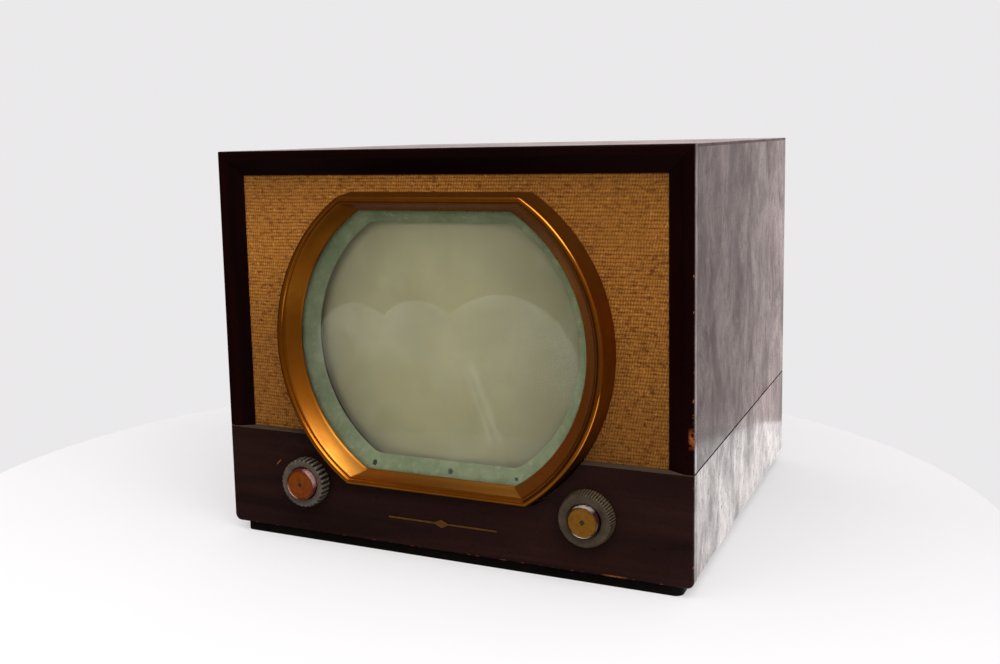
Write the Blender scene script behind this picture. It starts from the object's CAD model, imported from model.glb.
"""Looks of the table-top television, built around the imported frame. Metres, +Z up, screen towards -Y."""

import math

import bpy
import numpy as np
from mathutils import Matrix, Vector


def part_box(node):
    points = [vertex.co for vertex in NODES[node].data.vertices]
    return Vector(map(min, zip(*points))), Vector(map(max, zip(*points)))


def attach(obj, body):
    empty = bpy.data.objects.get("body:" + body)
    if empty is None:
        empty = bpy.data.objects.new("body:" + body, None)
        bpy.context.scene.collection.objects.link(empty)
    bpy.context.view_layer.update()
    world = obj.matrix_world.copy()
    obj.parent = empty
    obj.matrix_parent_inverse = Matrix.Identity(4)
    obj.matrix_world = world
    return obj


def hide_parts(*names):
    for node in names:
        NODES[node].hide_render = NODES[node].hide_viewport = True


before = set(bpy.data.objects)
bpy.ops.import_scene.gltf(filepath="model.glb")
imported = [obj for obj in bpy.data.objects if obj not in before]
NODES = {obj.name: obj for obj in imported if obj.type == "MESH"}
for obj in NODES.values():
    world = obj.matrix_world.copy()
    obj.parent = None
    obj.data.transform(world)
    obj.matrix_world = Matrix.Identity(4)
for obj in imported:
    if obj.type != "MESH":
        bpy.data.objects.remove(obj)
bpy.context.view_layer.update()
MM = 0.001


# ---- places taken from the frame ----
def centre_of(node):
    low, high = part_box(node)
    return (low + high) / 2


def half_size(node):
    """Half the width and half the height of a CAD node."""
    low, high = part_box(node)
    return (high.x - low.x) / 2, (high.z - low.z) / 2


def depths_of(node):
    """How far the front and the back of a CAD node are behind the front of the case."""
    low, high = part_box(node)
    return low.y - FRONT_Y, high.y - FRONT_Y


FRONT_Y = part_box("control_panel")[0].y
RIGHT_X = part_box("upper_side_right")[1].x
SEAM_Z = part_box("control_panel")[1].z
PANEL_LOW_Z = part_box("control_panel")[0].z
TOP_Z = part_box("top_panel")[1].z
BEZEL_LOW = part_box("bezel")[0]
SCREEN_X = centre_of("bezel").x
SCREEN_Z = centre_of("bezel").z
LEFT_KNOB = centre_of("contrast_knob")
RIGHT_KNOB = centre_of("channel_knob")


# ---- node trees ----
class Nodes:
    """Adds shader nodes to one tree and links them."""

    def __init__(self, tree):
        self.tree = tree

    def add(self, kind, **settings):
        node = self.tree.nodes.new("ShaderNode" + kind)
        for key, value in settings.items():
            setattr(node, key, value)
        return node

    def put(self, socket, value):
        """Links an output to the socket, or sets its value."""
        if isinstance(value, bpy.types.NodeSocket):
            self.tree.links.new(value, socket)
        elif isinstance(value, (tuple, list)) and len(value) == 3 and socket.type == "RGBA":
            socket.default_value = (*value, 1.0)
        else:
            socket.default_value = value

    def parts(self, vector):
        """The X, Y and Z outputs of a vector."""
        split = self.add("SeparateXYZ")
        self.put(split.inputs[0], vector)
        return split.outputs

    def math(self, operation, a, b=0.0, clamp=False):
        node = self.add("Math", operation=operation, use_clamp=clamp)
        self.put(node.inputs[0], a)
        self.put(node.inputs[1], b)
        return node.outputs[0]

    def minus(self, a, b):
        return self.math("SUBTRACT", a, b)

    def plus(self, first, *others):
        for other in others:
            first = self.math("ADD", first, other)
        return first

    def times(self, first, *others):
        """The product. Of masks, it is 1 only where all of them are."""
        for other in others:
            first = self.math("MULTIPLY", first, other)
        return first

    def toward(self, values, direction):
        """The sum of the values, each multiplied by its share of the direction."""
        return self.plus(*(self.times(value, share) for value, share in zip(values, direction)))

    def span(self, value, low, high, to_low=0.0, to_high=1.0):
        """value mapped from low..high to to_low..to_high and held at the ends."""
        node = self.add("MapRange")
        self.put(node.inputs["Value"], value)
        self.put(node.inputs["From Min"], low)
        self.put(node.inputs["From Max"], high)
        self.put(node.inputs["To Min"], to_low)
        self.put(node.inputs["To Max"], to_high)
        return node.outputs["Result"]

    def fade(self, mask, level):
        """A factor that is 1 where the mask is 0, and level where it is 1."""
        return self.span(mask, 0.0, 1.0, 1.0, level)

    def near(self, value, place, reach):
        """1 where value is at place, falling to 0 at the given distance from it."""
        return self.span(self.math("ABSOLUTE", self.minus(value, place)), 0.0, reach, 1.0, 0.0)

    def mix(self, share, a, b, blend="MIX"):
        node = self.add("Mix", data_type="RGBA", blend_type=blend)
        self.put(node.inputs["Factor"], share)
        self.put(node.inputs["A"], a)
        self.put(node.inputs["B"], b)
        return node.outputs["Result"]

    def join(self, kind, *inputs):
        """A shader node with its inputs in order."""
        node = self.add(kind)
        for socket, value in zip(node.inputs, inputs):
            self.put(socket, value)
        return node.outputs[0]


class Graph(Nodes):
    """Builds one node material. Positions are read in the row frame, in metres."""

    def __init__(self, name):
        self.material = bpy.data.materials.new(name)
        self.material.use_nodes = True
        super().__init__(self.material.node_tree)
        self.shader = self.tree.nodes["Principled BSDF"]
        self.where = self.add("TexCoord").outputs["Object"]

    def axis(self, name):
        return self.parts(self.where)[name]

    def distance(self, x, z):
        """How far a place is from the front-to-back line through x and z."""
        across, above = self.minus(self.axis("X"), x), self.minus(self.axis("Z"), z)
        return self.math("SQRT", self.plus(self.math("POWER", across, 2.0), self.math("POWER", above, 2.0)))

    def normal(self, axis):
        """How far the surface looks along the axis, from -1 to 1."""
        return self.parts(self.add("NewGeometry").outputs["Normal"])[axis]

    def facing(self, axis, sign=1.0):
        """1 on faces that look along the axis."""
        return self.span(self.times(self.normal(axis), sign), 0.6, 0.8)

    def noise(self, scale, detail=3.0, rough=0.55, stretch=(1, 1, 1), offset=0.0, twist=0.0):
        place = self.add("Mapping")
        self.put(place.inputs["Vector"], self.where)
        place.inputs["Scale"].default_value = stretch
        place.inputs["Location"].default_value = (offset, offset * 0.7, offset * 1.3)
        node = self.add("TexNoise")
        self.put(node.inputs["Vector"], place.outputs[0])
        node.inputs["Scale"].default_value = scale
        node.inputs["Detail"].default_value = detail
        node.inputs["Roughness"].default_value = rough
        node.inputs["Distortion"].default_value = twist
        return node.outputs[0]

    def bump(self, height, strength, distance):
        node = self.add("Bump")
        self.put(node.inputs["Height"], height)
        node.inputs["Strength"].default_value = strength
        node.inputs["Distance"].default_value = distance
        self.put(self.shader.inputs["Normal"], node.outputs[0])

    def finish(self, **inputs):
        """Sets the Principled shader's inputs, with _ for a space in their names."""
        for name, value in inputs.items():
            self.put(self.shader.inputs[name.replace("_", " ")], value)
        return self.material

    def surface(self, shader):
        """Replaces the Principled shader."""
        self.put(self.tree.nodes["Material Output"].inputs["Surface"], shader)
        self.tree.nodes.remove(self.shader)
        return self.material


def dress(material, *nodes):
    """Gives CAD nodes their material."""
    for node in nodes:
        slots = NODES[node].data.materials
        if not slots:
            slots.append(material)
        for i in range(len(slots)):
            slots[i] = material


def scaled(colour, share):
    return tuple(c * share for c in colour)


# ---- wood ----
GRAIN = {"x": (0.07, 1, 1), "y": (1, 0.07, 1), "z": (1, 1, 0.07)}
FRONT_DARK, FRONT_LIGHT = (0.0045, 0.0006, 0.0005), (0.012, 0.0014, 0.0010)
PANEL_DARK, PANEL_LIGHT = (0.012, 0.0050, 0.0042), (0.030, 0.0110, 0.0085)
SIDE_DARK, SIDE_LIGHT = (0.014, 0.006, 0.0055), (0.035, 0.013, 0.011)
SOFTWOOD_DARK, SOFTWOOD_LIGHT = (0.22, 0.13, 0.06), (0.42, 0.27, 0.14)
CHIP, MILK = (0.30, 0.085, 0.022), (0.30, 0.265, 0.26)
SEAM_DARK, SEAM_DUSTY = (0.002, 0.001, 0.001), (0.072, 0.047, 0.032)
SEAM_REACH = 1.3 * MM
WOOD_SHINE = 0.06


def hazy_lacquer(g, colour, haze, gloss, offset, hazy_face, front_gloss):
    """Milky old lacquer, with worn patches, streaks, pits and dull dots, and milkier towards the back.

    hazy_face limits it to the faces that look along one axis. front_gloss is the share of the gloss that is
    left in the front half. Gives the colour, the coat, the roughness and the specular level."""
    film = g.noise(17, 6, 0.75, (1, 1, 0.62), offset + 11, 0.5)
    streaks = g.noise(42, 4, 0.65, (1, 1, 0.16), offset + 23)
    patches = g.noise(95, 4, 0.75, (1, 1, 0.7), offset + 29)
    pits = g.span(g.noise(125, 5, 0.85, (1, 1, 0.75), offset + 17), 0.50, 0.68, 0.0, 0.7)
    large_dots = g.span(g.noise(150, 2, 0.6, (1, 1, 0.7), offset + 31), 0.64, 0.68)
    small_dots = g.span(g.noise(330, 2, 0.6, (1, 1, 0.7), offset + 33), 0.60, 0.68, 0.0, 0.6)
    intact = g.times(g.span(film, 0.62, 0.36), g.span(streaks, 0.66, 0.40, 0.72, 1.0),
                     g.minus(1.0, g.times(pits, 0.85)), g.span(patches, 0.30, 0.58, 0.55, 1.0))
    face = g.facing(*hazy_face) if hazy_face else 1.0
    backward = g.span(g.axis("Y"), FRONT_Y, -FRONT_Y, 0.45, 2.0)
    milk = g.times(g.span(intact, 0.0, 1.0, haze * 0.35, haze), face, backward)
    glossy = g.times(g.span(g.axis("Y"), 0.0, -FRONT_Y, front_gloss, 1.0),
                     g.fade(g.math("MAXIMUM", large_dots, small_dots), 0.25))
    coat = g.times(g.span(intact, 0.0, 1.0, gloss * 0.30, gloss), face, glossy)
    shine = g.span(g.times(face, glossy), 0.0, 1.0, WOOD_SHINE, g.span(intact, 0.0, 0.7, 0.10, 0.32))
    return g.mix(milk, colour, MILK), coat, g.span(intact, 0.0, 1.0, 0.34, 0.16), shine


def wood(name, grain, dark, light, haze=0.0, gloss=0.5, offset=0.0, wear=(), hazy_face=None, seam=SEAM_DARK,
         front_gloss=1.0):
    """Dark lacquered mahogany, with a line of the seam's colour where the two halves of the case meet.

    haze is how milky the lacquer is. wear holds functions that give masks of chipped places."""
    g = Graph(name)
    bands = g.noise(34, 3, 0.6, GRAIN[grain], offset, 0.8)
    pores = g.noise(1500, 2, 0.5, GRAIN[grain], offset + 3)
    cloud = g.noise(11, 4, 0.6, offset=offset + 7)
    colour = g.mix(g.span(bands, 0.35, 0.68), dark, light)
    colour = g.mix(g.span(pores, 0.42, 0.30, 0.0, 0.55), colour, scaled(dark, 0.25))
    colour = g.mix(g.span(cloud, 0.35, 0.75, 0.0, 0.35), colour, scaled(light, 0.5))
    coat, rough, shine = gloss, g.span(cloud, 0.3, 0.7, 0.30, 0.45), WOOD_SHINE
    relief = 0.4
    if haze:
        colour, coat, rough, shine = hazy_lacquer(g, colour, haze, gloss, offset, hazy_face, front_gloss)
        relief = 0.08
    chips = 0.0
    for place in wear:
        chips = g.math("MAXIMUM", chips, place(g))
    line = g.span(g.near(g.axis("Z"), SEAM_Z, SEAM_REACH), 0.1, 0.5)
    off_line = g.minus(1.0, line)
    colour = g.mix(line, g.mix(chips, colour, CHIP), seam)
    coat = g.times(coat, g.times(g.minus(1.0, chips), off_line))
    g.bump(g.minus(g.times(pores, relief), g.times(chips, 1.5)), 0.25, 0.0004)
    return g.finish(Base_Color=colour, Roughness=g.math("MAXIMUM", rough, g.times(chips, 0.7)),
                    Coat_Weight=coat, Coat_Roughness=0.12, Coat_Tint=(1.0, 0.93, 0.925),
                    Specular_IOR_Level=g.times(shine, off_line))


def chips_at(reach, amount, scale, low, high, along="z", **edges):
    """A wear mask: chips within reach of the edge where the named coordinates have the given values.

    They lie between low and high, measured along one axis."""
    soft_end = 0.01

    def mask(g):
        found = g.span(g.noise(scale, 3, 0.65), 1.0 - amount, 1.03 - amount)
        for name, place in edges.items():
            found = g.times(found, g.span(g.near(g.axis(name.upper()), place, reach), 0.15, 0.45))
        place = g.axis(along.upper())
        return g.times(found, g.span(place, low, low + soft_end), g.span(place, high, high - soft_end))
    return mask


def scratch_at(x, z, half_length, half_width):
    """A wear mask: one short scratch that rises to the right on the front."""
    def mask(g):
        dx, dz = g.minus(g.axis("X"), x), g.minus(g.axis("Z"), z)
        along, across = g.plus(dx, dz), g.minus(dx, dz)
        line = g.times(g.near(along, 0.0, 2 * half_length), g.near(across, 0.0, 2 * half_width))
        return g.span(g.times(line, g.facing("Y", -1.0)), 0.15, 0.5)
    return mask


def dress_cabinet():
    corner = dict(x=RIGHT_X, y=FRONT_Y)
    stile_wear = [chips_at(2.2 * MM, 0.42, 170, SEAM_Z + 0.045, SEAM_Z + 0.095, **corner),
                  chips_at(6.8 * MM, 0.60, 75, SEAM_Z + 0.022, SEAM_Z + 0.043, **corner),
                  chips_at(2.0 * MM, 0.36, 170, SEAM_Z, TOP_Z, **corner)]
    panel_wear = [chips_at(3.0 * MM, 0.60, 110, 0.163, 0.190, "x", z=PANEL_LOW_Z, y=FRONT_Y),
                  chips_at(1.8 * MM, 0.40, 160, -RIGHT_X, RIGHT_X, "x", z=PANEL_LOW_Z, y=FRONT_Y),
                  chips_at(1.6 * MM, 0.38, 150, PANEL_LOW_Z - 0.02, SEAM_Z + 0.02, **corner),
                  scratch_at(LEFT_KNOB.x - 0.038, LEFT_KNOB.z + 0.015, 4.2 * MM, 0.6 * MM)]
    for side, node in ((-1.0, "frame_left_stile"), (1.0, "frame_right_stile")):
        dress(wood(node + "_wood", "z", FRONT_DARK, FRONT_LIGHT, haze=0.30, gloss=0.8, wear=stile_wear,
                   offset=side, hazy_face=("X", side)), node)
    dress(wood("front_rail_wood", "x", FRONT_DARK, FRONT_LIGHT, gloss=0.03, offset=2.0), "frame_top_rail")
    dress(wood("control_panel_wood", "x", PANEL_DARK, PANEL_LIGHT, haze=0.30, gloss=0.8, offset=5.0,
               wear=panel_wear, hazy_face=("X", 1.0), seam=SEAM_DUSTY), "control_panel")
    dress(wood("side_wood", "z", SIDE_DARK, SIDE_LIGHT, haze=0.24, gloss=1.0, offset=9.0, front_gloss=0.32),
          "upper_side_left", "upper_side_right")
    dress(wood("lower_side_wood", "y", SIDE_DARK, SIDE_LIGHT, haze=0.34, gloss=1.0, offset=14.0),
          "lower_side_left", "lower_side_right")
    dress(wood("top_wood", "x", SIDE_DARK, SIDE_LIGHT, haze=0.35, gloss=0.8, offset=21.0,
               hazy_face=("Z", 1.0)), "top_panel")


# ---- paint and metal ----
def painted(name, colour, worn, rough=0.45, scale=40, texture=0.15, specks=0.0, coat=0.0, shine=0.5):
    """A painted, moulded or coated surface with blotches of a worn second colour, and fine texture.

    specks is how dark its dots are, and shine is its specular level."""
    g = Graph(name)
    blotch = g.noise(scale, 5, 0.65)
    fine = g.noise(scale * 22, 2, 0.6, offset=2)
    tone = g.mix(g.span(blotch, 0.35, 0.72), colour, worn)
    if specks:
        dots = g.span(g.noise(scale * 6, 3, 0.7, offset=5), 0.70, 0.76)
        tone = g.mix(g.times(dots, specks), tone, scaled(colour, 0.18))
    g.bump(fine, texture, 0.0003)
    rough = g.span(blotch, 0.3, 0.7, rough * 0.8, min(1.0, rough * 1.25))
    return g.finish(Base_Color=tone, Roughness=rough, Coat_Weight=coat, Coat_Roughness=0.2,
                    Specular_IOR_Level=shine)


def metal(name, colour, dull, rough=0.3, scale=30, brush=(1, 1, 1)):
    """Bare or plated metal with tarnish and fine brushing along one axis."""
    g = Graph(name)
    film = g.noise(scale, 5, 0.65)
    lines = g.noise(900, 2, 0.5, brush, 4)
    tone = g.mix(g.span(film, 0.35, 0.75, 0.0, 0.5), colour, dull)
    g.bump(lines, 0.08, 0.0002)
    rough = g.plus(g.span(film, 0.3, 0.75, rough * 0.8, rough * 1.5), g.span(lines, 0.3, 0.7, -0.03, 0.03))
    return g.finish(Base_Color=tone, Metallic=1.0, Roughness=rough)


# ---- mesh helpers ----
def mesh_object(name, points, faces, material):
    mesh = bpy.data.meshes.new(name)
    mesh.from_pydata([tuple(map(float, p)) for p in points], [], [tuple(map(int, f)) for f in faces])
    mesh.materials.append(material)
    obj = bpy.data.objects.new(name, mesh)
    bpy.context.scene.collection.objects.link(obj)
    return obj


def piece(name, points, faces, material, body, node=None, sharp=40.0):
    """A smooth-shaded mesh that rides on a body and may stand for a CAD node."""
    obj = mesh_object(name, points, faces, material)
    obj.data.validate()
    obj.data.shade_smooth()
    obj.data.set_sharp_from_angle(angle=math.radians(sharp))
    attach(obj, body)
    if node:
        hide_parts(node)


def loft(rings, close_start=False, close_end=False):
    """Points and faces through closed rings that all have the same number of points."""
    count = len(rings[0])
    points = [p for ring in rings for p in ring]
    faces = []
    for i in range(len(rings) - 1):
        for j in range(count):
            k = (j + 1) % count
            faces.append((i * count + j, i * count + k, (i + 1) * count + k, (i + 1) * count + j))
    if close_start:
        faces.append(tuple(reversed(range(count))))
    if close_end:
        faces.append(tuple(range((len(rings) - 1) * count, len(rings) * count)))
    return points, faces


def placed(base, rows):
    """Rows of offsets in millimetres, measured from the base."""
    return [tuple(start + offset * MM for start, offset in zip(base, row)) for row in rows]


def circle(centre, radius, depth, count=128, wave=None):
    """A ring about a front-to-back axis. wave changes the radius with the angle."""
    ring = []
    for i in range(count):
        angle = 2 * math.pi * i / count
        r = radius + (wave(angle) if wave else 0.0)
        ring.append((centre.x + r * math.cos(angle), FRONT_Y + depth, centre.z + r * math.sin(angle)))
    return ring


def porthole(radius, half_height, depth, corner=0.0, arc=96, bend=10, flat=24):
    """A ring that is round at the sides and flat above and below, with its corners rounded by corner."""
    inner_r, inner_h = radius - corner, half_height - corner
    crease = math.asin(min(1.0, inner_h / inner_r))
    corner_x = inner_r * math.cos(crease)
    quarter = [(radius * math.cos(a), radius * math.sin(a)) for a in np.linspace(0, crease, arc // 2)]
    turn = np.linspace(crease, math.pi / 2, bend + 2)[1:-1]
    quarter += [(corner_x + corner * math.cos(a), inner_h + corner * math.sin(a)) for a in turn]
    quarter += [(x, half_height) for x in np.linspace(corner_x, 0, flat // 2 + 1)]
    half = quarter + [(-x, z) for x, z in reversed(quarter[:-1])]
    ring = half + [(x, -z) for x, z in reversed(half[1:-1])]
    return [(SCREEN_X + x, FRONT_Y + depth, SCREEN_Z + z) for x, z in ring]


def rounded(profile, corner_radius, steps=4):
    """An open polyline with its inner corners rounded off."""
    out = [np.array(profile[0], float)]
    for before, here, after in zip(profile, profile[1:], profile[2:]):
        a, b, c = (np.array(p, float) for p in (before, here, after))
        reach = min(corner_radius, np.linalg.norm(a - b) / 2.1, np.linalg.norm(c - b) / 2.1)
        start = b + (a - b) / np.linalg.norm(a - b) * reach
        end = b + (c - b) / np.linalg.norm(c - b) * reach
        for t in np.linspace(0, 1, steps):
            out.append((1 - t) ** 2 * start + 2 * t * (1 - t) * b + t * t * end)
    out.append(np.array(profile[-1], float))
    return out


# ---- grille cloth ----
RIB, STITCH = 3.45 * MM, 2.6 * MM
YARN_LOW, YARN_HIGH, GLINT = (0.185, 0.056, 0.007), (0.53, 0.205, 0.032), (0.82, 0.40, 0.09)
GAP, FIBRE, STAIN = (0.11, 0.022, 0.003), (0.48, 0.22, 0.05), (0.20, 0.075, 0.012)


def cloth_material():
    """Ribbed cloth of thick golden yarn, with lighter slubs, darker gaps and age stains."""
    g = Graph("grille_cloth_weave")
    x, z = g.axis("X"), g.axis("Z")
    wander = g.times(g.minus(g.noise(28, 2), 0.5), 2.4 * MM)
    row = g.math("DIVIDE", g.plus(z, wander), RIB)
    step = g.math("FLOOR", row)
    across = g.math("FRACT", row)
    ridge = g.math("SINE", g.times(across, math.pi))
    shift = g.times(g.math("FRACT", g.times(step, 0.381)), 5.0 * MM)
    wobble = g.times(g.noise(75, 2, 0.5, offset=21), 5.0 * MM)
    stitch = g.math("FRACT", g.math("DIVIDE", g.plus(x, shift, wobble), STITCH))
    bead = g.math("SINE", g.times(stitch, math.pi))
    slub = g.noise(210, 3, 0.7, (0.6, 1, 1.3), 3)
    glint = g.noise(300, 2, 0.6, (0.95, 1, 1.0), 31)
    fibre = g.noise(1700, 2, 0.6, (1, 1, 0.5), 8)
    stain = g.noise(9, 4, 0.6, offset=12)
    height = g.plus(g.times(ridge, 0.40), g.times(bead, 0.52), g.times(slub, 0.9))
    colour = g.mix(g.span(height, 0.62, 1.40), YARN_LOW, YARN_HIGH)
    colour = g.mix(g.span(glint, 0.56, 0.74, 0.0, 0.65), colour, GLINT)
    colour = g.mix(g.span(slub, 0.46, 0.30, 0.0, 0.85), colour, GAP)
    colour = g.mix(g.span(fibre, 0.4, 0.7, 0.0, 0.2), colour, FIBRE)
    colour = g.mix(g.span(stain, 0.42, 0.72, 0.0, 0.45), colour, STAIN)
    shade = g.times(g.span(z, SEAM_Z, TOP_Z - 0.10, 0.64, 1.0),
                    g.span(z, TOP_Z - 0.055, TOP_Z - 0.025, 1.0, 0.76))
    right = g.span(x, -0.05, 0.21, 1.0, 0.86)
    colour = g.mix(1.0, colour, g.times(shade, right), "MULTIPLY")
    g.bump(g.plus(height, g.times(fibre, 0.35)), 0.7, 0.0007)
    return g.finish(Base_Color=colour, Roughness=0.85, Sheen_Weight=0.03, Sheen_Roughness=0.45,
                    Specular_IOR_Level=0.1)


def build_cloth():
    """The cloth as a real ribbed sheet, stretched over the baffle behind the front frame."""
    low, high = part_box("grille_cloth")
    columns = int((high.x - low.x) / (1.9 * MM))
    rows = int((high.z - low.z) / (RIB / 4))
    xs, zs = np.linspace(low.x, high.x, columns), np.linspace(low.z, high.z, rows)
    grid_x, grid_z = np.meshgrid(xs, zs)
    wander = 0.35 * MM * np.sin(grid_x * 61 + grid_z * 37) + 0.25 * MM * np.sin(grid_x * 173 - grid_z * 91)
    ridge = np.abs(np.sin(np.pi * (grid_z + wander) / RIB))
    slack = 0.25 * MM * np.sin(grid_x * 19 + 1.0) * np.sin(grid_z * 23)
    depth = low.y + 0.35 * MM - 0.22 * MM * ridge ** 0.7 + slack
    points = np.stack([grid_x, depth, grid_z], -1).reshape(-1, 3)
    faces = []
    hole_r, hole_h = (half - 6 * MM for half in half_size("bezel"))
    for i in range(rows - 1):
        for j in range(columns - 1):
            dx, dz = xs[j] - SCREEN_X, zs[i] - SCREEN_Z
            if math.hypot(dx, dz) < hole_r and abs(dz) < hole_h:
                continue
            a = i * columns + j
            faces.append((a, a + 1, a + columns + 1, a + columns))
    used = np.unique(np.array(faces))
    renumber = np.full(len(points), -1)
    renumber[used] = np.arange(len(used))
    piece("grille_cloth_weave", points[used], renumber[np.array(faces)], cloth_material(), "cabinet",
          "grille_cloth", sharp=180)


# ---- screen surround, glass, mask and picture tube ----
WALL_RINGS = 5


COPPER, AGED_COPPER = (0.78, 0.270, 0.024), (0.56, 0.170, 0.012)
PALE_GOLD, SPOT = (0.62, 0.32, 0.065), (0.22, 0.07, 0.012)


def bezel_material(name, bright, rough):
    """Lacquered copper-gold, browner where the lacquer has aged, with faint brushing.

    The ramp and the bead in front of it are dimmed by the way each part of them looks."""
    g = Graph(name)
    film = g.noise(14, 5, 0.65)
    spots = g.noise(260, 3, 0.7, offset=6)
    lines = g.noise(700, 2, 0.5, (1, 0.2, 1), 3)
    ramp = g.span(g.axis("Y"), BEZEL_LOW.y + 2.5 * MM, BEZEL_LOW.y + 5.0 * MM)
    bead = g.minus(1.0, ramp)
    up, down = g.span(g.normal("Z"), 0.28, 0.52), g.span(g.normal("Z"), -0.28, -0.52)
    left = g.span(g.normal("X"), -0.05, -0.45)
    tone = 1.25 * bright
    for part, side, level in ((ramp, up, 0.90), (ramp, down, 0.46), (bead, left, 0.25), (ramp, left, 1.05),
                              (bead, down, 0.28)):
        tone = g.times(tone, g.fade(g.times(part, side), level))
    colour = g.mix(g.span(film, 0.35, 0.70), COPPER, AGED_COPPER)
    colour = g.mix(g.span(spots, 0.66, 0.78, 0.0, 0.6), colour, SPOT)
    colour = g.mix(g.times(ramp, up, 0.45), colour, PALE_GOLD)
    colour = g.mix(1.0, colour, tone, "MULTIPLY")
    rough = g.times(g.span(film, 0.3, 0.7, rough * 0.8, rough * 1.3), g.span(ramp, 0.0, 1.0, 0.60, 1.25),
                    g.fade(up, 1.25))
    g.bump(lines, 0.05, 0.0002)
    return g.finish(Base_Color=colour, Metallic=1.0, Roughness=rough)


def build_bezel():
    """Pressed surround: flared wall, rolled rim, a groove and a thin second line, the ramp and the lip."""
    wall_r, wall_h = half_size("bezel")
    front, back = depths_of("bezel")
    lip_r, lip_h = wall_r - 23.6 * MM, wall_h - 17.6 * MM
    roll = 3.0 * MM
    rim_r, rim_h, rim_d = wall_r - 3.1 * MM - roll, wall_h - 3.1 * MM - roll, front + roll
    steps = [(wall_r, wall_h, back), (rim_r + roll + 0.2 * MM, rim_h + roll + 0.2 * MM, rim_d + 1.2 * MM)]
    for angle in np.linspace(0, 0.92 * math.pi, 15):
        out = roll * math.cos(angle)
        steps.append((rim_r + out, rim_h + out, rim_d - roll * math.sin(angle)))
    groove = ((-0.5, -0.5, 0.35), (-1.1, -1.0, 0.20), (-1.9, -1.5, 0.5), (-2.6, -1.9, 1.5))
    lip = ((2.2, 1.9, -6.0), (0.9, 0.8, -5.0), (0.2, 0.2, -4.2), (0.0, 0.0, -3.2), (0.6, 0.6, -2.5))
    steps += placed(steps[-1], groove) + placed((lip_r, lip_h, 0.0), lip)
    rings = [porthole(a, b, c, corner=3.0 * MM, bend=6) for a, b, c in steps]
    for name, part, look in (("screen_surround_wall", rings[:WALL_RINGS], ("bezel_brown", 0.33, 0.45)),
                             ("screen_surround", rings[WALL_RINGS - 1:], ("bezel_copper_gold", 1.0, 0.22))):
        points, faces = loft(part)
        piece(name, points, faces, bezel_material(*look), "cabinet", "bezel", sharp=55)


# Arcs left by wiping, as x, z and radius, and streaks, as x at z = 0, upper end, slope and half width.
WIPES = ((-0.089, SCREEN_Z - 0.010, 0.047), (-0.020, SCREEN_Z - 0.008, 0.050),
         (0.068, SCREEN_Z - 0.026, 0.077))
STREAKS = ((0.1120, SCREEN_Z - 0.010, -0.38, 0.005), (0.1000, SCREEN_Z - 0.014, -0.36, 0.0025))
GLASS_INDEX = 1.5


def wiping_marks(g):
    """A mask of the arcs and streaks that a cloth has left in the dust."""
    marks = 0.0
    for x, z, radius in WIPES:
        away = g.distance(x, z)
        upper = g.span(g.minus(g.axis("Z"), z), -0.6 * radius, 0.6 * radius)
        inside = g.times(g.span(away, radius, radius - 1.5 * MM), upper, 0.060)
        rim = g.times(g.near(away, radius, 2.2 * MM), upper, 0.05)
        marks = g.math("MAXIMUM", marks, g.plus(inside, rim))
    for x, z, slope, width in STREAKS:
        line = g.minus(g.axis("X"), g.plus(x, g.times(g.axis("Z"), slope)))
        streak = g.times(g.near(line, 0.0, width), g.span(g.axis("Z"), z, z - 0.01),
                         g.span(g.axis("Z"), z - 0.085, z - 0.07))
        marks = g.plus(marks, g.times(streak, 0.06))
    return marks


def glass_material():
    """Flat plate glass with a thin film of dust and faint wiping marks."""
    g = Graph("safety_glass_plate")
    wipe = g.noise(16, 5, 0.7, (1, 1, 0.5), 2, 1.2)
    dust = g.noise(420, 3, 0.7, offset=5)
    low_edge = g.span(g.axis("Z"), SCREEN_Z - 0.06, SCREEN_Z - 0.13)
    grime = g.times(low_edge, g.span(g.noise(60, 5, 0.7, offset=8), 0.4, 0.65))
    veil = g.plus(g.span(wipe, 0.35, 0.75, 0.0, 0.045), g.span(dust, 0.62, 0.80, 0.0, 0.05),
                  g.times(grime, 0.05))
    marks = g.times(wiping_marks(g), g.span(wipe, 0.2, 0.6, 0.4, 1.2))
    veil = g.math("ADD", veil, marks, clamp=True)
    clear = g.join("BsdfTransparent", (0.975, 0.985, 0.955))
    powder = g.join("BsdfDiffuse", (0.85, 0.83, 0.70))
    shine = g.add("BsdfGlossy")
    shine.inputs["Roughness"].default_value = 0.03
    dusty = g.join("MixShader", veil, clear, powder)
    return g.surface(g.join("MixShader", g.join("Fresnel", GLASS_INDEX), dusty, shine.outputs[0]))


def build_glass():
    r, h = half_size("safety_glass")
    front, back = depths_of("safety_glass")
    ease = 0.4 * MM
    rings = [porthole(r - ease, h - ease, front, 3 * MM), porthole(r, h, front + ease, 3 * MM),
             porthole(r, h, back - ease, 3 * MM), porthole(r - ease, h - ease, back, 3 * MM)]
    points, faces = loft(rings, True, True)
    piece("safety_glass_plate", points, faces, glass_material(), "cabinet", "safety_glass",
          sharp=30)


PAINT_DULL, PAINT, CHALK = (0.30, 0.40, 0.235), (0.50, 0.58, 0.36), (0.70, 0.76, 0.50)
FLECK, SPOT_DARK = (0.08, 0.09, 0.05), (0.004, 0.004, 0.003)
# The mask's fixing holes, as x and the radius of the dark spot round each.
FIXING_SPOTS = ((-0.077, 3.0 * MM), (0.008, 2.9 * MM), (0.078, 1.9 * MM))
FIXING_Z = BEZEL_LOW.z + 21.1 * MM


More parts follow.
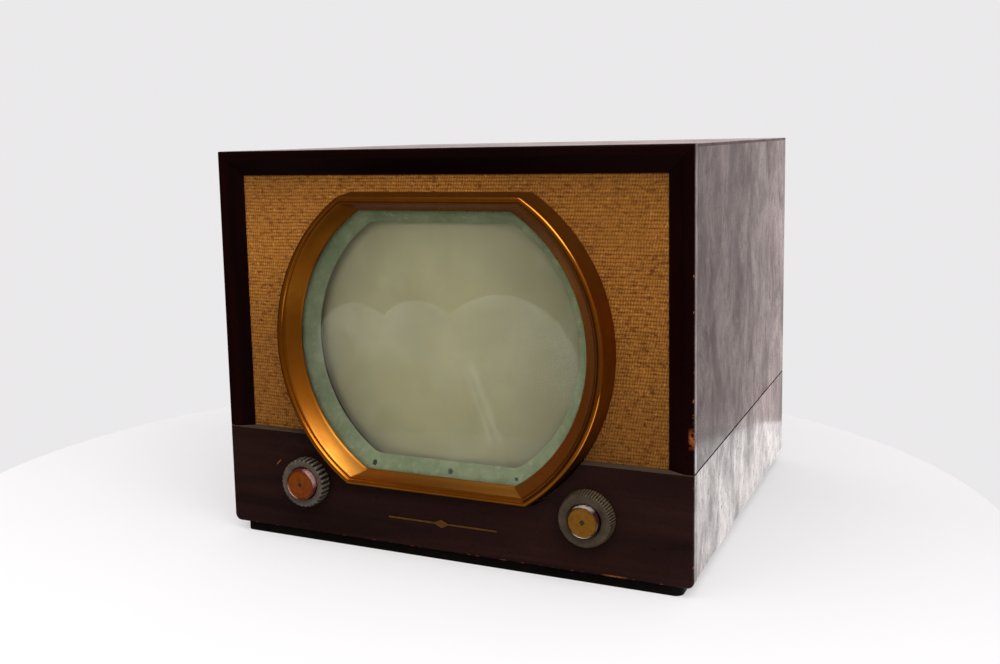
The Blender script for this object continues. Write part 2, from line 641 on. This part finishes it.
def mask_material():
    """Pale green paint, mottled and chalky, with dark flecks and a dark spot round each fixing hole.

    It is brighter low down and at the right, where it catches the light."""
    g = Graph("mask_green_paint")
    blotch = g.noise(46, 6, 0.72, offset=3)
    chalk = g.noise(130, 4, 0.7, offset=9)
    flecks = g.span(g.noise(330, 4, 0.75, offset=5), 0.66, 0.72)
    colour = g.mix(g.span(blotch, 0.34, 0.66), PAINT_DULL, PAINT)
    colour = g.mix(g.span(chalk, 0.52, 0.74, 0.0, 0.7), colour, CHALK)
    colour = g.mix(g.times(flecks, 0.55), colour, FLECK)
    low_light = g.span(g.axis("Z"), SCREEN_Z - 0.06, SCREEN_Z - 0.125, 1.0, 1.35)
    right_light = g.span(g.axis("X"), 0.08, 0.15, 1.0, 1.25)
    colour = g.mix(1.0, colour, g.times(low_light, right_light), "MULTIPLY")
    for x, radius in FIXING_SPOTS:
        ragged = g.plus(g.distance(x, FIXING_Z), g.times(g.minus(chalk, 0.5), 3.0 * MM))
        colour = g.mix(g.span(ragged, radius, radius - 0.6 * MM), colour, SPOT_DARK)
    g.bump(chalk, 0.25, 0.0004)
    return g.finish(Base_Color=colour, Roughness=g.span(chalk, 0.3, 0.7, 0.42, 0.62),
                    Specular_IOR_Level=0.4)


def build_mask():
    """Pressed mask with a flange behind the glass, a dished slope and a rolled, rounded opening."""
    r, h = half_size("screen_mask")
    front, back = depths_of("screen_mask")
    front += 0.05 * MM
    opening_r, opening_h = r - 28 * MM, h - 19.5 * MM
    depth = 12.6 * MM
    flange = ((0, 0, 0.6, 2), (-0.6, -0.6, 0, 2), (-13, -4.5, 0.1, 4), (-16, -8.0, 1.6, 8))
    opening = ((8, 5.5, -5.0, 14), (2.6, 2.2, -1.6, 18), (0.6, 0.5, -0.4, 19), (0, 0, 0.3, 20),
               (0.5, 0.5, 1.0, 20))
    steps = [(r, h, back - 0.2 * MM, 2 * MM)]
    steps += placed((r, h, front, 0), flange) + placed((opening_r, opening_h, depth, 0), opening)
    rings = [porthole(a, b, c, corner) for a, b, c, corner in steps]
    points, faces = loft(rings)
    piece("screen_mask_green", points, faces, mask_material(), "cabinet", "screen_mask",
          sharp=60)


SCREEN_END, NECK_START = 40 * MM, 288 * MM
PHOSPHOR, PHOSPHOR_DULL, PHOSPHOR_GRAIN = (0.86, 0.80, 0.52), (0.72, 0.67, 0.42), (0.90, 0.86, 0.62)
PHOSPHOR_RIM, PHOSPHOR_RIGHT = (0.36, 0.32, 0.19), (0.40, 0.36, 0.20)
GRAPHITE, GRAPHITE_WORN = (0.012, 0.012, 0.013), (0.045, 0.044, 0.042)
NECK_DARK, NECK_PALE = (0.09, 0.095, 0.09), (0.22, 0.22, 0.21)


def tube_material():
    """Pale phosphor at the face, black graphite on the funnel and a dark clear neck."""
    g = Graph("picture_tube_glass")
    depth = g.minus(g.axis("Y"), FRONT_Y)
    radius = g.distance(0.0, SCREEN_Z)
    cloud = g.noise(12, 4, 0.6, offset=4, twist=0.7)
    grain = g.noise(900, 2, 0.6, offset=2)
    phosphor = g.mix(g.span(cloud, 0.35, 0.70), PHOSPHOR, PHOSPHOR_DULL)
    phosphor = g.mix(g.span(radius, 0.085, 0.148, 0.0, 0.55), phosphor, PHOSPHOR_RIM)
    phosphor = g.mix(g.span(g.axis("X"), 0.02, 0.13, 0.0, 0.35), phosphor, PHOSPHOR_RIGHT)
    phosphor = g.mix(g.span(grain, 0.4, 0.7, 0.0, 0.10), phosphor, PHOSPHOR_GRAIN)
    graphite = g.mix(g.span(g.noise(38, 5, 0.7, offset=7), 0.35, 0.7), GRAPHITE, GRAPHITE_WORN)
    neck = g.mix(g.span(g.noise(60, 3, offset=11), 0.4, 0.7), NECK_DARK, NECK_PALE)
    behind_face = g.span(depth, SCREEN_END + 4 * MM, SCREEN_END + 10 * MM)
    on_neck = g.span(depth, NECK_START - 4 * MM, NECK_START + 2 * MM)
    colour = g.mix(g.span(depth, SCREEN_END, SCREEN_END + 6 * MM), phosphor, graphite)
    colour = g.mix(on_neck, colour, neck)
    rough = g.minus(g.span(behind_face, 0.0, 1.0, 0.55, 0.8), g.times(on_neck, 0.6))
    coat = g.span(behind_face, 0.0, 1.0, 0.45, 0.0)
    g.bump(g.noise(300, 3, 0.6, offset=3), 0.02, 0.0004)
    glow = g.times(g.span(depth, SCREEN_END + 6 * MM, SCREEN_END), 0.05)
    return g.finish(Base_Color=colour, Roughness=rough, Coat_Weight=coat, Coat_Roughness=0.05,
                    Specular_IOR_Level=0.3, Emission_Color=colour, Emission_Strength=glow)


def build_tube():
    """The bulb: a shallow domed face, a rounded shoulder, the funnel and the neck."""
    bulb_r, _ = half_size("picture_tube")
    front, end = depths_of("picture_tube")
    dome, neck_r = 508 * MM, 18.25 * MM
    face = [(r, front + dome - math.sqrt(dome ** 2 - r ** 2))
            for r in np.linspace(4 * MM, bulb_r - 12 * MM, 26)]
    side = placed((bulb_r, front), ((-3.5, 31), (0, 42), (-1, 62), (-10, 80)))
    side += placed((neck_r, NECK_START), ((14, -22), (4, -8), (0, 4)))
    side.append((neck_r, end))
    profile = face[:-1] + [tuple(p) for p in rounded([face[-1]] + side, 14 * MM, 6)]
    centre = Vector((SCREEN_X, 0, SCREEN_Z))
    points, faces = loft([circle(centre, r, d, 160) for r, d in profile], True, True)
    piece("picture_tube_bulb", points, faces, tube_material(), "cabinet", "picture_tube",
          sharp=60)


# ---- knobs ----
def knob_plastic(name, colour, edge, rough=0.38, coat=0.2, grooves=None, rubbed=None):
    """Aged moulding, dustier on its raised parts.

    grooves is the count and centre of a dirty grooved side. rubbed is a direction in x and z, and the pale
    colour of the faces that look that way."""
    g = Graph(name)
    cloud = g.noise(90, 4, 0.65)
    grime = g.noise(420, 4, 0.7, offset=4)
    tone = g.mix(g.span(cloud, 0.35, 0.70), colour, edge)
    tone = g.mix(g.span(grime, 0.58, 0.75, 0.0, 0.5), tone, scaled(colour, 0.35))
    if grooves:
        count, centre = grooves
        dx, dz = g.minus(g.axis("X"), centre.x), g.minus(g.axis("Z"), centre.z)
        turn = g.times(g.math("ARCTAN2", dz, dx), float(count))
        wave = g.math("COSINE", turn)
        side = g.minus(1.0, g.facing("Y", -1.0))
        tone = g.mix(g.times(side, g.span(wave, 0.25, 0.75)), tone, scaled(edge, 1.25))
        tone = g.mix(g.times(side, g.span(wave, -0.1, -0.7)), tone, (0.018, 0.012, 0.007))
    if rubbed:
        toward_x, toward_z, pale = rubbed
        look = g.toward((g.normal("X"), g.normal("Z")), (toward_x, toward_z))
        tone = g.mix(g.times(g.span(look, 0.68, 0.92), g.span(grime, 0.62, 0.45, 0.4, 1.0)), tone, pale)
    g.bump(grime, 0.12, 0.0002)
    return g.finish(Base_Color=tone, Roughness=g.span(cloud, 0.3, 0.7, rough * 0.8, rough * 1.2),
                    Coat_Weight=coat, Coat_Roughness=0.15, Subsurface_Weight=0.0 if grooves else 0.12,
                    Subsurface_Scale=0.002)


def spun_disc(name, colour, dull, centre):
    """Spun metal disc with fine rings about its middle and dull patches."""
    g = Graph(name)
    ring_step = 0.55 * MM
    rings = g.math("SINE", g.times(g.distance(centre.x, centre.z), 2 * math.pi / ring_step))
    film = g.noise(150, 4, 0.7, offset=2)
    spots = g.noise(420, 3, 0.7, offset=6)
    tone = g.mix(g.span(film, 0.4, 0.7), colour, dull)
    tone = g.mix(g.span(spots, 0.62, 0.74, 0.0, 0.6), tone, scaled(dull, 0.3))
    g.bump(rings, 0.06, 0.0001)
    return g.finish(Base_Color=tone, Metallic=0.75, Roughness=g.span(film, 0.3, 0.7, 0.34, 0.50))


def flute(count, depth):
    """A radius change that cuts evenly spaced grooves into a knob's side."""
    share = 0.55

    def wave(angle):
        phase = (angle * count / (2 * math.pi)) % 1.0
        return -depth * max(0.0, math.cos((phase - 0.5) * 2 * math.pi) - 1 + 2 * share) / (2 * share)
    return wave


def build_outer_knob(name, node, body, centre, material, base_r, front_r, pocket_r, grooves, cut, tiers):
    """A dished ring with a grooved side, whose grooves are cut that deep.

    tiers gives (radius share, depth share, groove share) up the side."""
    front, back = depths_of(node)
    tall = back - front
    bore = 5.0 * MM
    steps = [(bore, back, 0.0), (base_r - 0.6 * MM, back, 0.0)]
    for out, up, share in tiers:
        steps.append((front_r + (base_r - front_r) * out, back - tall * up, share))
    steps += [(front_r - 0.8 * MM, front + 0.25 * MM, 0.35), (front_r - 1.8 * MM, front, 0.0)]
    steps += placed((pocket_r, front, 0.0),
                    ((4.5, 0.5, 0), (1.6, 0.9, 0), (0.5, 1.4, 0), (0, 2.2, 0), (0, 8.8, 0)))
    steps.append((bore, front + 8.8 * MM, 0.0))
    rings = [circle(centre, r, d, grooves * 12, flute(grooves, cut * share)) for r, d, share in steps]
    points, faces = loft(rings + [rings[0]])
    piece(name, points, faces, material, body, node, sharp=38)


def build_inner_knob(name, body, centre, radius, cap_r, material, disc):
    """The smooth inner knob and the thin metal disc that is set into its face."""
    front, back = depths_of(name)
    bore = 3.3 * MM
    profile = [(bore, back)] + placed((radius, back), ((-0.3, 0), (0, -0.4)))
    profile += placed((radius, front), ((0, 1.4), (-0.25, 0.6), (-0.8, 0.08)))
    profile += placed((cap_r, front), ((0.3, 0.12), (0.1, 0.5), (0.1, 2.8)))
    profile.append((bore, front + 2.8 * MM))
    rings = [circle(centre, r, d, 144) for r, d in profile]
    points, faces = loft(rings + [rings[0]])
    piece(name + "_body", points, faces, material, body, name, sharp=38)
    front, back = depths_of(name + "_cap")
    dish = [(cap_r, back)] + placed((cap_r, front), ((0, 0.75), (-0.5, 0.45), (-2.2, 0.50)))
    dish.append((cap_r * 0.5, front + 0.35 * MM))
    dish += placed((0, front), ((2.1, 0.30), (1.7, 0.75), (0.3, 0.85)))
    points, faces = loft([circle(centre, r, d, 96) for r, d in dish], True, True)
    piece(name + "_disc", points, faces, disc, body, name + "_cap", sharp=30)


def build_mark(knob, body, centre, half, fullness):
    """The dark enamelled mark at the middle of a knob's disc.

    A fullness of 0.5 gives a diamond, and 0.7 is nearly round."""
    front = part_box(knob + "_cap")[0].y + 0.15 * MM
    inner = half * fullness
    ring = [(half, 0), (inner, inner), (0, half), (-inner, inner), (-half, 0), (-inner, -inner), (0, -half),
            (inner, -inner)]
    rings = [[(centre.x + x * size, front + deep, centre.z + z * size) for x, z in ring]
             for size, deep in ((1.0, 0.35 * MM), (1.0, 0.05 * MM), (0.8, 0.0))]
    points, faces = loft(rings, True, True)
    name = knob + "_mark"
    enamel = painted(name + "_enamel", (0.022, 0.016, 0.006), (0.06, 0.035, 0.012), 0.5, 300, shine=0.2)
    piece(name, points, faces, enamel, body, sharp=30)


def build_numerals(centre, radius, front_y):
    """Channel numbers 2 to 13 round the dial, as one raised mesh."""
    points, faces = [], []
    first, last, height = 2, 13, 3.0 * MM
    count = last - first + 1
    for number in range(first, last + 1):
        curve = bpy.data.curves.new("numeral", "FONT")
        curve.body = str(number)
        curve.size = height
        curve.extrude = 0.08 * MM
        curve.align_x, curve.align_y = "CENTER", "CENTER"
        curve.resolution_u = 3
        text = bpy.data.objects.new("numeral", curve)
        bpy.context.scene.collection.objects.link(text)
        bpy.context.view_layer.update()
        mesh = bpy.data.meshes.new_from_object(text.evaluated_get(bpy.context.evaluated_depsgraph_get()))
        turn = -2 * math.pi * (number - first) / count
        place = (Matrix.Translation((centre.x, front_y, centre.z)) @ Matrix.Rotation(-turn, 4, "Y")
                 @ Matrix.Translation((0, 0, radius)) @ Matrix.Rotation(math.pi / 2, 4, "X"))
        start = len(points)
        points += [place @ v.co for v in mesh.vertices]
        faces += [[start + i for i in p.vertices] for p in mesh.polygons]
        bpy.data.objects.remove(text)
        bpy.data.meshes.remove(mesh)
        bpy.data.curves.remove(curve)
    ink = painted("numeral_ink", (0.03, 0.022, 0.015), (0.08, 0.06, 0.04), 0.6, scale=200)
    numerals = mesh_object("channel_numerals", points, faces, ink)
    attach(numerals, "channel_selector")


LEFT_FLUTES, RIGHT_GROOVES = 30, 60


def build_knobs():
    ring = knob_plastic("knob_ring_plastic", (0.070, 0.055, 0.036), (0.125, 0.105, 0.078),
                        grooves=(LEFT_FLUTES, LEFT_KNOB))
    dial = knob_plastic("knob_dial_plastic", (0.040, 0.026, 0.012), (0.085, 0.060, 0.032),
                        grooves=(RIGHT_GROOVES, RIGHT_KNOB))
    maroon = knob_plastic("knob_maroon_plastic", (0.085, 0.009, 0.007), (0.16, 0.016, 0.012), 0.2, 0.6,
                          rubbed=(0.80, 0.60, (0.46, 0.27, 0.24)))
    dark = knob_plastic("knob_dark_plastic", (0.030, 0.008, 0.007), (0.055, 0.014, 0.012), 0.2, 0.6,
                        rubbed=(0.0, 1.0, (0.50, 0.42, 0.36)))
    copper = spun_disc("volume_disc_copper", (0.50, 0.112, 0.010), (0.31, 0.070, 0.008), LEFT_KNOB)
    gold = spun_disc("tuning_disc_gold", (0.53, 0.22, 0.022), (0.37, 0.155, 0.016), RIGHT_KNOB)
    left_tiers = ((1.0, 0.06, 0.6), (1.0, 0.13, 1.0), (0.6, 0.55, 1.0), (0.2, 0.80, 1.0), (0.0, 0.88, 0.6))
    right_tiers = ((1.0, 0.05, 0.7), (1.0, 0.14, 1.0), (1.0, 0.34, 1.0), (0.75, 0.40, 0.0), (0.55, 0.44, 0.0),
                   (0.65, 0.52, 0.8), (0.35, 0.70, 1.0), (0.05, 0.90, 0.8))
    build_outer_knob("contrast_knob_ring", "contrast_knob", "contrast_control", LEFT_KNOB, ring,
                     25.2 * MM, 24.9 * MM, 16.8 * MM, LEFT_FLUTES, 1.9 * MM, left_tiers)
    build_outer_knob("channel_knob_dial", "channel_knob", "channel_selector", RIGHT_KNOB, dial,
                     26.6 * MM, 25.2 * MM, 15.8 * MM, RIGHT_GROOVES, 0.7 * MM, right_tiers)
    build_inner_knob("volume_knob", "volume_control", LEFT_KNOB, 16.1 * MM, 14.6 * MM, maroon, copper)
    build_inner_knob("fine_tuning_knob", "fine_tuning_control", RIGHT_KNOB, 15.1 * MM, 13.8 * MM, dark, gold)
    build_mark("volume_knob", "volume_control", LEFT_KNOB, 2.5 * MM, 0.66)
    build_mark("fine_tuning_knob", "fine_tuning_control", RIGHT_KNOB, 2.9 * MM, 0.5)
    build_numerals(RIGHT_KNOB, 20.9 * MM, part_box("channel_knob")[0].y + 0.30 * MM)


# ---- everything else that keeps its CAD shape ----
def dress_metal():
    dress(metal("trim_gold", (0.55, 0.27, 0.07), (0.25, 0.10, 0.03), 0.38, 200), "trim_strip")
    dress(metal("plated_steel", (0.48, 0.47, 0.44), (0.25, 0.22, 0.17), 0.36, 25),
          "chassis", "neck_bracket", "tube_strap", "high_voltage_cage", "tuner_housing")
    dress(metal("shaft_steel", (0.55, 0.54, 0.52), (0.30, 0.27, 0.22), 0.28, 80, (1, 0.1, 1)),
          "contrast_shaft", "volume_shaft", "channel_shaft", "fine_tuning_shaft", "brightness_shaft",
          "vertical_hold_shaft", "horizontal_hold_shaft", "fixing_screws")
    dress(metal("pot_cans", (0.46, 0.44, 0.38), (0.24, 0.20, 0.14), 0.4, 60), "control_potentiometers")
    dress(metal("drawn_aluminium", (0.66, 0.66, 0.66), (0.42, 0.41, 0.39), 0.4, 40, (1, 1, 0.1)),
          "aluminium_cans")


def dress_wood_and_board():
    dress(wood("raw_softwood", "x", SOFTWOOD_DARK, SOFTWOOD_LIGHT, gloss=0.0, offset=30),
          "bottom_board", "rear_battens", "tube_cradle", "baffle_board")
    dress(painted("plinth_black", (0.003, 0.0025, 0.002), (0.007, 0.005, 0.004), 0.6, 60, shine=0.05),
          "plinth")
    dress(painted("fibreboard", (0.085, 0.040, 0.018), (0.15, 0.078, 0.038), 0.75, 18, 0.35, specks=0.35),
          "rear_cover", "rear_cup")


def dress_works():
    """The parts of the chassis, the tube and the loudspeaker that aren't plain metal."""
    dress(painted("coil_strips", (0.16, 0.07, 0.03), (0.30, 0.17, 0.08), 0.5, 90), "tuner_drum")
    dress(painted("bakelite_brown", (0.020, 0.011, 0.007), (0.045, 0.024, 0.014), 0.3, 50, coat=0.3),
          "picture_tube_base", "picture_tube_socket", "moulded_sockets", "antenna_terminals")
    dress(painted("rubber_black", (0.012, 0.012, 0.012), (0.035, 0.033, 0.03), 0.75, 50), "tube_cushion")
    dress(painted("flex_rubber", (0.060, 0.030, 0.017), (0.11, 0.065, 0.04), 0.55, 70, 0.3), "mains_cord")
    dress(painted("lead_insulation", (0.16, 0.018, 0.012), (0.08, 0.02, 0.015), 0.5, 60), "wiring")
    dress(painted("varnished_former", (0.10, 0.055, 0.022), (0.18, 0.10, 0.045), 0.4, 40, coat=0.2),
          "deflection_yoke")
    dress(painted("black_can", (0.014, 0.014, 0.015), (0.04, 0.038, 0.035), 0.42, 40), "focus_coil")
    dress(painted("red_clip", (0.28, 0.035, 0.02), (0.15, 0.03, 0.02), 0.4, 80), "ion_trap_magnet")
    dress(painted("valve_glass", (0.16, 0.165, 0.16), (0.30, 0.30, 0.29), 0.12, 60, 0.02, coat=0.8),
          "vacuum_tubes")
    dress(painted("black_iron", (0.018, 0.018, 0.018), (0.06, 0.05, 0.04), 0.5, 35, specks=0.4),
          "iron_core_transformers", "line_output_transformer", "speaker_magnet")
    dress(painted("basket_grey", (0.07, 0.07, 0.075), (0.13, 0.12, 0.11), 0.5, 40), "speaker_basket")
    dress(painted("cone_paper", (0.035, 0.032, 0.028), (0.08, 0.07, 0.06), 0.9, 60, 0.4), "speaker_cone")


# ---- stage ----
TABLE_CENTRE, TABLE_R = (-0.07, -0.07), 0.60
TABLE_SEEN, TABLE_MIRRORED, TABLE_BY_SIDE = 0.45, 0.03, 1.55
# The strip of table that the case's side mirrors ends at a line across this direction, at this distance.
STRIP_ACROSS, STRIP_END = (0.941, 0.338), 0.434
WALL_SEEN, SOFT_LIGHT = 0.83, 1.15
BACK_GLOW, ROOM_GLOW = 0.74, 0.09
KEY_LAMP, FILL_LAMP, LAMP_REACH = (0.445, -0.48, 0.756), (-0.10, -0.38, 0.92), 1.8


def table_material():
    """White table top. Its glow for reflections is set apart from its glow for the camera."""
    g = Graph("stage_white")
    path = g.add("LightPath").outputs
    x, y = g.axis("X"), g.axis("Y")
    beside = g.times(g.span(x, RIGHT_X - 0.05, RIGHT_X + 0.01), g.span(y, FRONT_Y - 0.12, FRONT_Y),
                     g.span(g.toward((x, y), STRIP_ACROSS), STRIP_END, STRIP_END - 0.014))
    side_glow = g.span(y, -0.10, 0.45, TABLE_BY_SIDE * 0.85, TABLE_BY_SIDE)
    mirrored = g.plus(g.times(beside, side_glow), TABLE_MIRRORED)
    seen = g.span(y, -0.60, 0.10, TABLE_SEEN * 1.16, TABLE_SEEN * 0.84)
    level = g.plus(g.times(path["Is Glossy Ray"], mirrored), g.times(path["Is Camera Ray"], seen))
    white = g.mix(g.noise(3.0, 2, 0.5), (0.44, 0.43, 0.435), (0.46, 0.455, 0.46))
    pale = g.join("BsdfDiffuse", g.mix(path["Is Glossy Ray"], white, (0.12, 0.12, 0.12)))
    tint = g.mix(path["Is Glossy Ray"], (1.0, 0.975, 0.97), (1.0, 0.97, 0.965))
    glow = g.join("Emission", tint, level)
    g.material.cycles.emission_sampling = "NONE"
    return g.surface(g.join("AddShader", pale, glow))


def build_stage():
    """A round pale table top under the set."""
    count = 128
    middle_x, middle_y = TABLE_CENTRE
    turns = [2 * math.pi * i / count for i in range(count)]
    top = [(middle_x + TABLE_R * math.cos(a), middle_y + TABLE_R * math.sin(a), 0.0) for a in turns]
    mesh_object("stage_table", top, [range(count)], table_material())


def area_light(name, direction, size, power):
    """A square lamp that stands in this direction and looks at the front of the set."""
    data = bpy.data.lights.new(name, "AREA")
    data.shape = "RECTANGLE"
    data.size = data.size_y = size
    data.energy = power
    obj = bpy.data.objects.new(name, data)
    bpy.context.scene.collection.objects.link(obj)
    obj.location = Vector(direction) * LAMP_REACH
    aim = Vector((0, FRONT_Y, SCREEN_Z)) - obj.location
    obj.rotation_euler = aim.to_track_quat("-Z", "Y").to_euler()


def build_lamps():
    area_light("soft_key", KEY_LAMP, size=0.8, power=4.5)
    area_light("soft_fill", FILL_LAMP, size=0.35, power=0.9)


def build_world():
    """Pale backdrop for the camera. Reflections see a room lit from behind and from the key lamp."""
    world = bpy.data.worlds.new("studio")
    bpy.context.scene.world = world
    world.use_nodes = True
    world.cycles.sampling_method = "NONE"
    g = Nodes(world.node_tree)
    background = g.tree.nodes["Background"]
    path = g.add("LightPath").outputs
    x, y, z = g.parts(g.add("TexCoord").outputs["Generated"])
    lamp = g.math("POWER", g.math("MAXIMUM", g.toward((x, y, z), KEY_LAMP), 0.0), 5.0)
    mirrored = g.plus(g.span(y, 0.1, 0.95, 0.0, BACK_GLOW), g.times(lamp, 0.32), ROOM_GLOW)
    soft = g.times(g.plus(g.times(lamp, 1.5), g.span(z, -0.5, 0.8, 0.15, 0.75)), SOFT_LIGHT)
    level = g.span(path["Is Glossy Ray"], 0.0, 1.0, soft, mirrored)
    level = g.span(path["Is Camera Ray"], 0.0, 1.0, level, WALL_SEEN)
    g.put(background.inputs["Color"], g.mix(path["Is Glossy Ray"], (1.0, 0.985, 1.0), (1.0, 0.85, 0.83)))
    g.put(background.inputs["Strength"], level)


# ---- camera ----
CAMERA_PLACE = (0.4734, -1.1532, 0.4153)
CAMERA_AZIMUTH, CAMERA_ELEVATION, CAMERA_ROLL = 24.99, 7.12, -1.275
LENS = 39.43
SHIFT_X, SHIFT_Y = 0.0239, -0.0592


def build_camera():
    data = bpy.data.cameras.new("camera")
    data.sensor_width, data.lens = 36.0, LENS
    data.shift_x, data.shift_y = SHIFT_X, SHIFT_Y
    data.clip_start, data.clip_end = 0.01, 50
    cam = bpy.data.objects.new("camera", data)
    bpy.context.scene.collection.objects.link(cam)
    azimuth, elevation, roll = (math.radians(v) for v in (CAMERA_AZIMUTH, CAMERA_ELEVATION, CAMERA_ROLL))
    back = Vector((math.sin(azimuth) * math.cos(elevation), -math.cos(azimuth) * math.cos(elevation),
                   math.sin(elevation)))
    right = (-back).cross(Vector((0, 0, 1))).normalized()
    up = right.cross(-back)
    across = right * math.cos(roll) + up * math.sin(roll)
    upright = -right * math.sin(roll) + up * math.cos(roll)
    cam.matrix_world = Matrix((across, upright, back)).transposed().to_4x4()
    cam.location = CAMERA_PLACE
    bpy.context.scene.camera = cam


dress_cabinet()
dress_metal()
dress_wood_and_board()
dress_works()
build_cloth()
build_bezel()
build_glass()
build_mask()
build_tube()
build_knobs()
build_stage()
build_world()
build_lamps()
build_camera()
bpy.context.scene.view_settings.view_transform = "Standard"
